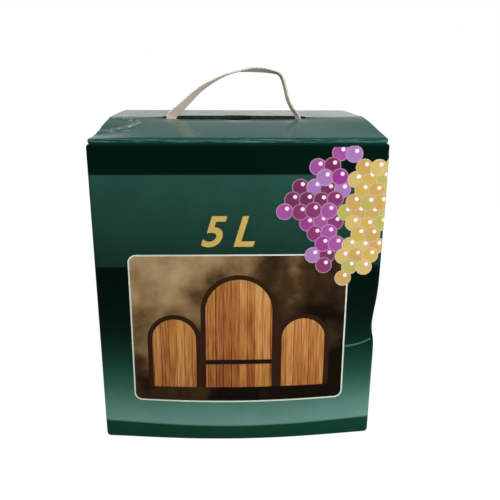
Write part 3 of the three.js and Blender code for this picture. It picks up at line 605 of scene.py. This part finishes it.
class CARTON_OT_walls(bpy.types.Operator):
    """Adds the carton: walls, bottom and dust flaps of one folded blank"""
    bl_idname = "carton.walls"
    bl_label = "Carton walls"

    def execute(self, context):
        s = context.scene.carton_sizes
        half_width, half_depth, top = s.width / 2, s.depth / 2, s.wall_top
        piece = add_box("printed_carton", (0, 0, top / 2), (s.width, s.depth, top))

        def is_folded(middle, edge):
            upright = abs(middle.z - top / 2) < TINY
            low = middle.z < TINY
            side_top = middle.z > top - TINY and abs(middle.x) > half_width - TINY
            return upright or low or side_top

        select(piece, "edges", is_folded)
        bpy.ops.mesh.bevel(offset=s.fold, segments=4, affect="EDGES")
        inner_x, inner_y = half_width - s.fold, half_depth - s.fold
        mouth = half_width - s.dust_flap
        arc_low = s.lid_top - s.lid_fold
        slit_front, slit_rear = -half_depth + s.board + 0.5 * MM, s.lid_rear - s.board - 0.5 * MM
        seam, seam_low = half_depth - 4 * MM, half_depth - 4.8 * MM
        centre = [0.5 * MM, -0.5 * MM]
        by_dent = steps(72 * MM, inner_x, FINE_GRID)
        cut_at(steps(-inner_x, inner_x, s.grid) + [-mouth, mouth] + by_dent, 0)
        cut_at(steps(-inner_y, inner_y, s.grid) + [slit_front, slit_rear, seam, seam_low] + centre, 1)
        cut_at(steps(s.fold, top - s.fold, s.grid) + steps(66 * MM, 90 * MM, FINE_GRID) + [arc_low], 2)

        def is_open(middle, face):
            over = middle.z > top - TINY and abs(middle.x) < inner_x
            apart = abs(middle.x) < mouth or middle.y < slit_front or middle.y > slit_rear
            front = middle.y < -half_depth + TINY and middle.z > arc_low and abs(middle.x) < inner_x
            return (over and apart) or front

        select(piece, "faces", is_open)
        bpy.ops.mesh.delete(type="FACE")

        def is_lip(middle, edge):
            front = middle.y < -half_depth + TINY and abs(middle.x) < inner_x
            return edge.is_boundary and front and abs(middle.z - arc_low) < TINY

        select(piece, "edges", is_lip)
        extrude_along(arc((0, 0), s.lid_fold, 180, 135, 4))
        select(piece, "verts", lambda m, v: m.y > half_depth - TINY and m.z > top - TINY)
        bpy.ops.transform.translate(value=(0, 0, s.rear_rise))
        select(piece, "faces", lambda m, f: m.x < -half_width + TINY and seam_low < m.y < seam)
        bpy.ops.transform.translate(value=(1.2 * MM, 0, 0))
        leave_mesh()
        finishes = board_finishes(True)
        thicken(piece, finishes, s.board)
        deselect()
        inner = s.board - half_width
        bpy.ops.mesh.primitive_cylinder_add(
            vertices=96, radius=s.tear_out, depth=8 * MM, location=(inner, s.tear_place, top - 1 * MM))
        cutter = named("cutter")
        enter_mesh()
        bpy.ops.mesh.bisect(
            plane_co=(inner, 0, 0), plane_no=(1, 0, 0), use_fill=True, clear_inner=True)
        leave_mesh()
        cut_out(piece, cutter, finishes, 2)
        move_points(piece, creased(pushed_out(s, points_of(piece))))
        smooth(piece)
        settle(piece, "root", finishes, ["carton_body"])
        self.inner_flaps(s)
        return {"FINISHED"}

    def inner_flaps(self, s):
        """The glued lap inside the left wall and the bottom flaps that lie on the bottom."""
        inner_x, inner_y = s.width / 2 - s.board, s.depth / 2 - s.board
        lap_place = s.board / 2 - inner_x, inner_y - 15 * MM, s.wall_top / 2
        flap_size = 54 * MM, 2 * inner_y - 2 * MM, s.board
        flap_x, flap_z = inner_x - flap_size[0] / 2, 1.5 * s.board
        for name, place, size in (
                ("glue_lap", lap_place, (s.board, 29 * MM, s.wall_top - 8 * MM)),
                ("bottom_flap_left", (-flap_x, 0, flap_z), flap_size),
                ("bottom_flap_right", (flap_x, 0, flap_z), flap_size)):
            piece = add_box(name, place, size)
            bpy.ops.mesh.subdivide(number_cuts=12)
            leave_mesh()
            apply_modifier(piece, "BEVEL", width=0.3 * MM, segments=2, limit_method="ANGLE")
            move_points(piece, pushed_out(s, points_of(piece)))
            smooth(piece)
            settle(piece, "root", board_finishes(True)[1:2])


class CARTON_OT_lid(bpy.types.Operator):
    """Adds the lid with its slot, finger hole, tear-out and tuck flap"""
    bl_idname = "carton.lid"
    bl_label = "Lid"

    def profile(self, s):
        """The outside of the lid in Y and Z, from the mitre of its front fold to the tuck flap's edge."""
        front = (-s.depth / 2 + s.lid_fold, s.lid_top - s.lid_fold)
        rear = (s.lid_rear - s.lid_fold, s.lid_top - s.lid_fold)
        points = arc(front, s.lid_fold, 135, 90, 4)
        for low, high, rises in ((front[0], 0, True), (0, rear[0], False)):
            for at in steps(low, high, s.grid) + [high]:
                share = (at - low) / (high - low)
                points.append((at, s.lid_top + s.ridge * (share if rises else 1 - share)))
        points += arc(rear, s.lid_fold, 90, -8, 7)[1:]
        last, lean = points[-1], math.radians(8)
        for reach in [*steps(0, s.tuck, s.tuck / 8), s.tuck]:
            points.append((last[0] - math.sin(lean) * reach, last[1] - math.cos(lean) * reach))
        return points

    def execute(self, context):
        s = context.scene.carton_sizes
        points = self.profile(s)
        piece = add_sheet("printed_lid", s.lid_half, points)
        slot_left, slot_right, slot_half = -53 * MM, 49.5 * MM, 3.5 * MM
        tuck_half = s.width / 2 - 2 * s.board - 1 * MM
        ends = [slot_left, slot_right, -tuck_half, tuck_half]
        cut_at(steps(-s.lid_half, s.lid_half, s.grid) + ends, 0)
        cut_at([slot_half, -slot_half], 1)
        rear = s.lid_rear - s.lid_fold - 8 * MM

        def in_slot(middle, slack=0.0):
            along = slot_left - slack < middle.x < slot_right + slack
            return along and abs(middle.y) < slot_half + slack

        def is_cut(middle, face):
            tuck = middle.y > rear and middle.z < s.lid_top - s.board
            return in_slot(middle) or (tuck and abs(middle.x) > tuck_half)

        select(piece, "faces", is_cut)
        bpy.ops.mesh.delete(type="FACE")
        tip = min(z for _, z in points)
        for side in (-1, 1):
            co = Vector((side * tuck_half, 0, tip + 12 * MM))
            bpy.ops.mesh.select_all(action="SELECT")
            bpy.ops.mesh.bisect(plane_co=co, plane_no=Vector((side, 0, -1)), clear_outer=True)
        leave_mesh()
        finishes = board_finishes(False)
        thicken(piece, finishes, s.board)
        deselect()
        bpy.ops.mesh.primitive_cylinder_add(
            vertices=64, radius=1, depth=1, location=(0, 0, s.lid_top + s.ridge),
            scale=(11 * MM, 8.5 * MM, 12 * MM))
        cutter = named("cutter")
        # The cut faces of the slot and finger hole take the darker edge finish: partly ink soil, partly
        # painted shade.
        for face in piece.data.polygons:
            if face.material_index == 2 and in_slot(face.center, TINY):
                face.material_index = 3
        cut_out(piece, cutter, finishes, 3)
        flat = points_of(piece)
        x, y, z = flat.T
        on_top = z > 204 * MM
        inside = np.clip((s.tear_out - np.hypot(x + s.lid_half, y - s.tear_place)) / (2 * MM), 0, 1)
        beside = 1 / (1 + np.exp((np.abs(x + 2 * MM) - 50 * MM) / (4 * MM)))
        lip = np.where(y > 0, 0.9, -0.7) * hump(np.abs(y) - slot_half, 11 * MM)
        flat[:, 2] += on_top * (beside * lip - 0.45 * inside) * MM
        move_points(piece, pushed_out(s, flat))
        smooth(piece)
        settle(piece, "lid", finishes, ["lid"])
        return {"FINISHED"}


class CARTON_OT_fold(bpy.types.Operator):
    """Adds the outer liner over the front fold"""
    bl_idname = "carton.fold"
    bl_label = "Front fold"

    def execute(self, context):
        s = context.scene.carton_sizes
        centre = (-s.depth / 2 + s.lid_fold, s.lid_top - s.lid_fold)
        past_arc = 3.4 * MM
        points = [
            (-s.depth / 2, centre[1] - past_arc), *arc(centre, s.lid_fold + 0.06 * MM, 180, 90, 16),
            (centre[0] + past_arc, s.lid_top + 0.1 * MM)]
        half = s.width / 2 - s.fold - 0.2 * MM
        piece = add_sheet("fold_liner", half, points)
        cut_at(steps(-half, half, s.grid), 0)
        leave_mesh()
        apply_modifier(piece, "SOLIDIFY", thickness=0.12 * MM, offset=-1)
        move_points(piece, pushed_out(s, points_of(piece)))
        smooth(piece, 60)
        settle(piece, None, board_finishes(True)[:1])
        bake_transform(piece)
        return {"FINISHED"}


class CARTON_OT_print(bpy.types.Operator):
    """Adds the ink fields that lie over the print: round fruit and the volume mark"""
    bl_idname = "carton.print"
    bl_label = "Ink fields"

    def on_wall(self, s, across, height, lift):
        """A point at a place along the front wall, round the right fold and on along the right wall."""
        half_width, half_depth, fold = s.width / 2, s.depth / 2, s.fold
        past = across - (half_width - fold)
        turn = np.clip(past / fold, 0, math.pi / 2)
        beyond = np.maximum(0, past - fold * math.pi / 2)
        radius = fold + lift
        x = np.where(past > 0, half_width - fold + np.sin(turn) * radius, across)
        y = np.where(past > 0, -half_depth + fold - np.cos(turn) * radius, -half_depth - lift) + beyond
        points = np.stack([x, y, height], 1)
        return creased(pushed_out(s, points))

    def execute(self, context):
        s = context.scene.carton_sizes
        self.discs(s)
        self.volume_mark(s)
        return {"FINISHED"}

    def discs(self, s):
        """Rows of discs, each by its height, its start, its count and whether it is yellow."""
        purple = [linear(c) for c in ("#74255a", "#862a7c", "#8f4288", "#9368a0", "#651f4c")]
        yellow = [linear(c) for c in ("#b39644", "#ae8e49", "#a0994a", "#b69f5a")]
        rows = [
            (200.0, 62, 2, 0), (192.6, 48, 2, 0), (185.5, 53.5, 2, 0), (178.2, 38, 4, 0),
            (171.0, 33.5, 4, 0), (163.6, 29, 4, 0), (156.4, 43, 3, 0), (149.2, 48.5, 2, 0),
            (142.0, 53, 2, 0), (134.6, 48, 2, 0), (128.0, 54, 1, 0),
            (191.8, 77, 3, 1), (184.4, 72.5, 3, 1), (177.0, 77, 3, 1), (169.8, 72, 3, 1),
            (162.6, 66.5, 4, 1), (155.2, 72, 3, 1), (148.0, 76.5, 2, 1), (140.8, 71, 3, 1),
            (133.4, 66.5, 3, 1), (126.0, 71.5, 2, 1), (118.8, 67, 1, 1)]
        radius, spacing = 5.4 * MM, 9.0
        chance = np.random.default_rng(7)
        deselect()
        made = []
        for row, (height, start, count, kind) in enumerate(rows):
            for i in range(count):
                across = (start + i * spacing + chance.uniform(-0.7, 0.7)) * MM
                level = (height + chance.uniform(-0.8, 0.8)) * MM
                tints = yellow if kind else purple
                tint = tints[chance.integers(len(tints))]
                lift = 0.03 + 0.012 * (row % 3 * 4 + i % 4) + 0.14 * kind
                made.append((across, level, tint, lift * MM))
        bpy.ops.mesh.primitive_circle_add(vertices=32, radius=radius, fill_type="TRIFAN")
        seed = named("disc_seed")
        enter_mesh()
        bpy.ops.mesh.subdivide(number_cuts=2)
        leave_mesh()
        local = points_of(seed)
        discs = []
        for index, (across, level, tint, lift) in enumerate(made):
            disc = seed.copy()
            disc.data = seed.data.copy()
            disc.name = "disc_%d" % index
            bpy.context.collection.objects.link(disc)
            layer = disc.data.uv_layers.new(name="disc")
            for loop in disc.data.loops:
                layer.data[loop.index].uv = local[loop.vertex_index][:2] / radius
            ink = disc.data.color_attributes.new("ink", "FLOAT_COLOR", "POINT")
            ink.data.foreach_set("color", list(tint) * len(local))
            move_points(disc, self.on_wall(s, across + local[:, 0], level + local[:, 1], lift))
            discs.append(disc)
        bpy.data.objects.remove(seed)
        deselect()
        for disc in discs:
            disc.select_set(True)
        bpy.context.view_layer.objects.active = discs[0]
        bpy.ops.object.join()
        piece = named("ink_fruit")
        apply_modifier(piece, "SOLIDIFY", thickness=0.02 * MM, offset=-1)
        enter_mesh()
        bpy.ops.mesh.normals_make_consistent(inside=False)
        leave_mesh()
        settle(piece, "root", [finish("offset ink, round fruit", printed_ink)])

    def volume_mark(self, s):
        """The volume in slanted type, laid on the front wall."""
        deselect()
        bpy.ops.object.text_add()
        mark = bpy.context.object.data
        mark.body, mark.size, mark.shear, mark.offset = "5 L", 28 * MM, 0.3, 0.55 * MM
        mark.space_word, mark.extrude, mark.resolution_u = 0.8, 0.03 * MM, 8
        bpy.ops.object.convert(target="MESH")
        piece = named("ink_volume_mark")
        enter_mesh()
        bpy.ops.mesh.remove_doubles(threshold=0.001 * MM)
        leave_mesh()
        flat = points_of(piece)
        flat[:, 0] -= (flat[:, 0].max() + flat[:, 0].min()) / 2
        lift = flat[:, 2] + 0.06 * MM
        move_points(piece, self.on_wall(s, flat[:, 0] - 7 * MM, flat[:, 1] + 141 * MM, lift))
        settle(piece, "root", [finish("offset ink, ochre", gold_ink)])


class CARTON_OT_strap(bpy.types.Operator):
    """Adds the woven carrying strap and the bars that hold its ends"""
    bl_idname = "carton.strap"
    bl_label = "Carrying strap"

    ROUTE = [
        (-1, 0), (-0.996, 0.089), (-0.84, 0.279), (-0.689, 0.468), (-0.523, 0.649), (-0.326, 0.802),
        (-0.179, 0.891), (0, 0.964), (0.164, 0.994), (0.328, 1), (0.489, 0.978), (0.635, 0.925),
        (0.682, 0.85), (0.735, 0.64), (0.774, 0.454), (0.832, 0.287), (0.928, 0.114), (0.949, 0)]

    def line(self, t):
        """Points and tangents along the strap's smooth route, for shares of its length."""
        strap = bpy.context.scene.strap_sizes
        knots = np.array([(x * strap.reach, z * strap.rise) for x, z in self.ROUTE])
        dense = []
        for i in range(len(knots) - 1):
            before = knots[i - 1] if i else 2 * knots[0] - knots[1]
            after = knots[i + 2] if i + 2 < len(knots) else 2 * knots[-1] - knots[-2]
            p = [before, knots[i], knots[i + 1], after]
            k = [0.0]
            for a, b in zip(p, p[1:]):
                k.append(k[-1] + max(1e-9, np.linalg.norm(b - a) ** 0.5))
            for u in np.linspace(k[1], k[2], 24, endpoint=False):
                level = p
                for pairs in (((0, 1), (1, 2), (2, 3)), ((0, 2), (1, 3)), ((1, 2),)):
                    level = [
                        (a * (k[j] - u) + b * (u - k[i])) / (k[j] - k[i])
                        for a, b, (i, j) in zip(level, level[1:], pairs)]
                dense.append(level[0])
        dense.append(knots[-1])
        dense = np.array(dense)
        run = np.concatenate([[0], np.cumsum(np.linalg.norm(np.diff(dense, axis=0), axis=1))])
        share = run / run[-1]
        slope = np.gradient(dense, run, axis=0)
        at = np.stack([np.interp(t, share, dense[:, k]) for k in (0, 1)], 1)
        way = np.stack([np.interp(t, share, slope[:, k]) for k in (0, 1)], 1)
        return at, way / np.linalg.norm(way, axis=1)[:, None], run[-1]

    def execute(self, context):
        strap = context.scene.strap_sizes
        piece = add_box("woven_strap", (0, 0, 0), (1, strap.width, strap.thickness))
        select(piece, "edges", lambda m, e: abs(m.x) < TINY and abs(abs(m.y) - strap.width / 2) < TINY)
        bpy.ops.mesh.bevel(offset=0.3 * MM, segments=3, affect="EDGES")
        cut_at(steps(-0.5, 0.5, 1 / 240), 0)
        cut_at(steps(-strap.width / 2 + 0.4 * MM, strap.width / 2 - 0.4 * MM, 0.7 * MM), 1)
        leave_mesh()
        flat = points_of(piece)
        t = np.clip(flat[:, 0] + 0.5, 0, 1)
        at, way, total = self.line(t)
        layer = piece.data.uv_layers.new(name="tape")
        for loop in piece.data.loops:
            index = loop.vertex_index
            layer.data[loop.index].uv = t[index] * total / MM, flat[index, 1] / MM
        from_middle = np.abs(2 * t - 1)
        right = np.radians(4 + 13 * from_middle ** 2 + 3 * np.clip((t - 0.93) / 0.05, 0, 1))
        twist = np.where(t < 0.5, strap.twist * from_middle ** 1.1, right)
        twist += np.radians(19) * hump(t - 0.6, 0.1)
        cos, sin = np.cos(twist), np.sin(twist)
        cord_height, cord_width = 0.06 * MM, 1.4 * MM
        cords = cord_height * np.sin(flat[:, 1] * 2 * math.pi / cord_width)
        rise = flat[:, 2] + np.sign(flat[:, 2]) * cords
        normal = np.stack([-way[:, 1], way[:, 0]], 1)
        out = cos * rise - sin * flat[:, 1]
        above = np.maximum(0, at[:, 1] + normal[:, 1] * out)
        move_points(piece, np.stack([
            at[:, 0] + normal[:, 0] * out, cos * flat[:, 1] + sin * rise, strap.foot + above], 1))
        smooth(piece, 50)
        settle(piece, "lid", [finish("woven cotton tape", cotton_tape)], ["handle_strap"])
        nylon = finish("moulded nylon", moulded_plastic, "#e9e7df", 0.45)
        for side in ("left", "right"):
            low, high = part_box("strap_anchor_" + side)
            centre = (low + high) / 2
            bar = add_box("strap_bar_" + side, centre, high - low)
            cut_at([centre.y - 4 * MM, centre.y + 4 * MM], 1)
            select(bar, "verts", lambda m, v: abs(m.y - centre.y) < 5 * MM)
            bpy.ops.transform.resize(value=(0.75, 1, 1), center_override=centre)
            leave_mesh()
            apply_modifier(bar, "BEVEL", width=0.7 * MM, segments=4, limit_method="NONE")
            smooth(bar)
            settle(bar, "lid", [nylon], ["strap_anchor_" + side])
        return {"FINISHED"}


class CARTON_OT_bag(bpy.types.Operator):
    """Adds the full film bag, with its creases and the seal across its top"""
    bl_idname = "carton.bag"
    bl_label = "Film bag"

    def execute(self, context):
        deselect()
        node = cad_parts["wine_bag"]
        piece = node.copy()
        piece.data = node.data.copy()
        piece.parent = None
        piece.hide_render = False
        for key in list(piece.keys()):
            del piece[key]
        bpy.context.collection.objects.link(piece)
        piece.name = piece.data.name = "film_bag"
        piece.select_set(True)
        context.view_layer.objects.active = piece
        enter_mesh()
        bpy.ops.mesh.remove_doubles(threshold=0.01 * MM)
        leave_mesh()
        apply_modifier(piece, "REMESH", mode="VOXEL", voxel_size=2.6 * MM)
        apply_modifier(piece, "SMOOTH", factor=0.5, iterations=8)
        piece.data.materials.clear()
        points = points_of(piece)
        normals = np.empty(len(piece.data.vertices) * 3)
        piece.data.vertices.foreach_get("normal", normals)
        sunk = np.array([self.crease(Vector(p)) for p in points])
        move_points(piece, points - normals.reshape(-1, 3) * sunk[:, None] * MM)
        smooth(piece, 60)
        settle(piece, "root", [finish("metallised film", metallised_film)], ["wine_bag"])
        self.seal()
        return {"FINISHED"}

    def crease(self, point):
        """Depth of the folds in mm: sharp ridges on the slack top, hardly any on the full sides."""
        slack = min(1, max(0, (point.z - 0.15) / 0.03))
        ridge = abs(noise.noise(Vector((point.x * 38, point.y * 16, point.z * 30))))
        fine = abs(noise.noise(Vector((point.x * 70, point.y * 110, point.z * 70))))
        return 0.1 + slack * (2.2 * (1 - ridge * 2) ** 2 * 0.6 + 0.7 * fine)

    def seal(self):
        """The flat welded seal that stands across the bag's top."""
        foot = 183 * MM
        piece = add_box("film_bag_seal", (6 * MM, 26 * MM, foot + 4 * MM), (128 * MM, 0.5 * MM, 8 * MM))
        cut_at(steps(-58 * MM, 70 * MM, 1.2 * MM), 0)
        cut_at(steps(foot, foot + 8 * MM, 1 * MM), 2)
        leave_mesh()
        flat = points_of(piece)
        up = (flat[:, 2] - foot) / MM
        wave = np.sin(flat[:, 0] / MM / 9) * 1.3 + np.sin(flat[:, 0] / MM / 3.7) * 0.4
        flat[:, 1] += (wave * up / 8 + up * 0.9) * MM
        flat[:, 2] -= 0.25 * up * MM
        move_points(piece, flat)
        smooth(piece, 60)
        settle(piece, "root", [finish("metallised film", metallised_film)])


class CARTON_OT_tap(bpy.types.Operator):
    """Adds the tap: gland, button and collar turned about the tap's axis, and gives the body and stem
    their finish
    """
    bl_idname = "carton.tap"
    bl_label = "Tap"

    AXIS = (0, -23, 163)

    def turned(self, name, corners):
        """A solid turned about the tap's axis from radius and X corners in millimetres."""
        deselect()
        bpy.ops.mesh.primitive_circle_add(vertices=len(corners), radius=1)
        piece = named(name)
        axis = Vector(self.AXIS) * MM
        move_points(piece, np.array([(x * MM, axis.y, axis.z + radius * MM) for radius, x in corners]))
        enter_mesh()
        bpy.ops.mesh.spin(steps=72, angle=2 * math.pi, center=axis, axis=(1, 0, 0))
        bpy.ops.mesh.select_all(action="SELECT")
        bpy.ops.mesh.remove_doubles(threshold=0.01 * MM)
        bpy.ops.mesh.delete_loose()
        bpy.ops.mesh.select_all(action="SELECT")
        bpy.ops.mesh.normals_make_consistent(inside=False)
        leave_mesh()
        apply_modifier(
            piece, "BEVEL", width=0.35 * MM, segments=3, limit_method="ANGLE",
            angle_limit=math.radians(50))
        smooth(piece)
        return piece

    def execute(self, context):
        white = finish("moulded polyethylene", moulded_plastic, "#f1f0ea", 0.4)
        red = finish("moulded polypropylene, red", moulded_plastic, "#a32020", 0.35)
        gland = self.turned("welded_gland", [
            (10, -60), (15, -60), (15, -57.5), (16.2, -57.2), (16.2, -55.8), (15, -55.5), (15, -51),
            (20, -51), (20, -49.4), (10, -49.4)])
        settle(gland, "root", [white], ["tap_gland"])
        button = self.turned("press_button", [
            (0, -83.3), (8.2, -83.3), (9.2, -82.6), (10.1, -82.2), (10.1, -80.3), (0, -80.3)])
        settle(button, "tap_button", [red], ["tap_button"])
        for name in ("tap_body", "tap_stem"):
            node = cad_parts[name].data
            node.materials.clear()
            node.materials.append(white)
        collar = self.turned("tap_collar", [(13.1, -81.9), (14.2, -81.7), (14.2, -79.3), (13.1, -79.1)])
        settle(collar, "root", [white])
        return {"FINISHED"}


class CARTON_OT_stage(bpy.types.Operator):
    """Adds the pale floor, the soft light, the white surround and the camera"""
    bl_idname = "carton.stage"
    bl_label = "Stage"

    def execute(self, context):
        deselect()
        bpy.ops.mesh.primitive_plane_add(size=12, location=(0, 0, -0.0003))
        floor = named("floor")
        material = bpy.data.materials.new("pale matt floor")
        add = empty_tree(material)
        soft = add("BsdfDiffuse", [(0.85, 0.85, 0.85, 1)])
        bright = add("Emission", [(1, 1, 1, 1), 1.05])
        seen = add("LightPath").outputs["Is Camera Ray"]
        share = add("Math", [seen, 0.95], "MULTIPLY")
        add("OutputMaterial", [add("MixShader", [share, soft, bright])])
        floor.data.materials.append(material)
        world = bpy.data.worlds.new("white surround")
        context.scene.world = world
        add = empty_tree(world)
        path = add("LightPath")
        shiny, clear = path.outputs["Is Glossy Ray"], path.outputs["Is Transmission Ray"]
        seen = add("Math", [path.outputs["Is Camera Ray"], clear], "MAXIMUM")
        x, y, z = add("SeparateXYZ", [add("TexCoord").outputs["Generated"]]).outputs
        behind = add("MapRange", [y, -0.3, 0.9, 0.05, 0.85])
        low = add("MapRange", [z, 0.02, 0.22, 0.95, 0.24])
        right = add("MapRange", [x, -0.35, 0.4, 0.8, 1.25])
        around = add("Math", [behind, add("Math", [low, right], "MULTIPLY")], "MULTIPLY")
        glossy = add("Math", [shiny, around], "MULTIPLY")
        plain = add("Math", [add("Math", [1.0, shiny], "SUBTRACT"), 0.32], "MULTIPLY")
        strength = add("Math", [seen, add("Math", [glossy, plain], "ADD")], "MAXIMUM")
        add("OutputWorld", [add("Background", [(1, 1, 1, 1), strength])])
        for at, aim, size, power in (
                ((0.34, -0.42, 0.3), (0.06, 0, 0.1), 0.35, 2.3),
                ((-0.9, -0.25, 1.0), (0, 0, 0.2), 0.8, 7),
                ((0.1, 0.5, 1.6), (0, 0, 0.15), 1.2, 8)):
            deselect()
            bpy.ops.object.light_add(type="AREA", location=at)
            lamp = context.object
            lamp.data.shape, lamp.data.size, lamp.data.energy = "DISK", size, power
            lamp.visible_glossy = False
            lamp.rotation_euler = (Vector(aim) - Vector(at)).to_track_quat("-Z", "Y").to_euler()
        deselect()
        angles = [math.radians(a) for a in (71.1034, -0.3903, -2.1239)]
        bpy.ops.object.camera_add(location=(-0.0082, -0.4690, 0.2707), rotation=angles)
        camera = context.scene.camera = context.object
        camera.data.lens, camera.data.sensor_width, camera.data.clip_start = 46.18, 36, 0.01
        context.scene.view_settings.view_transform = "Standard"
        return {"FINISHED"}


OPERATORS = [
    CARTON_OT_stage, CARTON_OT_walls, CARTON_OT_lid, CARTON_OT_fold, CARTON_OT_print, CARTON_OT_strap,
    CARTON_OT_bag, CARTON_OT_tap]


class CARTON_PT_panel(bpy.types.Panel):
    """Lists the pieces of the carton"""
    bl_label = "Bag in box carton"
    bl_idname = "CARTON_PT_panel"
    bl_space_type = "VIEW_3D"
    bl_region_type = "UI"
    bl_category = "Carton"

    def draw(self, context):
        for operator in OPERATORS:
            self.layout.operator(operator.bl_idname)
        for name in ("carton_sizes", "strap_sizes", "print_colours"):
            group = getattr(context.scene, name)
            for key in group.__annotations__:
                self.layout.prop(group, key)


GROUPS = {"carton_sizes": CartonSizes, "strap_sizes": StrapSizes, "print_colours": PrintColours}
CLASSES = [*GROUPS.values(), *OPERATORS, CARTON_PT_panel]


def register():
    for cls in CLASSES:
        bpy.utils.register_class(cls)
    for name, group in GROUPS.items():
        setattr(bpy.types.Scene, name, PointerProperty(type=group))


def unregister():
    for name in GROUPS:
        delattr(bpy.types.Scene, name)
    for cls in reversed(CLASSES):
        bpy.utils.unregister_class(cls)


def main():
    register()
    bpy.ops.carton.stage()
    bpy.ops.carton.walls()
    bpy.ops.carton.lid()
    bpy.ops.carton.fold()
    bpy.ops.carton.print()
    bpy.ops.carton.strap()
    bpy.ops.carton.bag()
    bpy.ops.carton.tap()


if __name__ == "__main__":
    main()
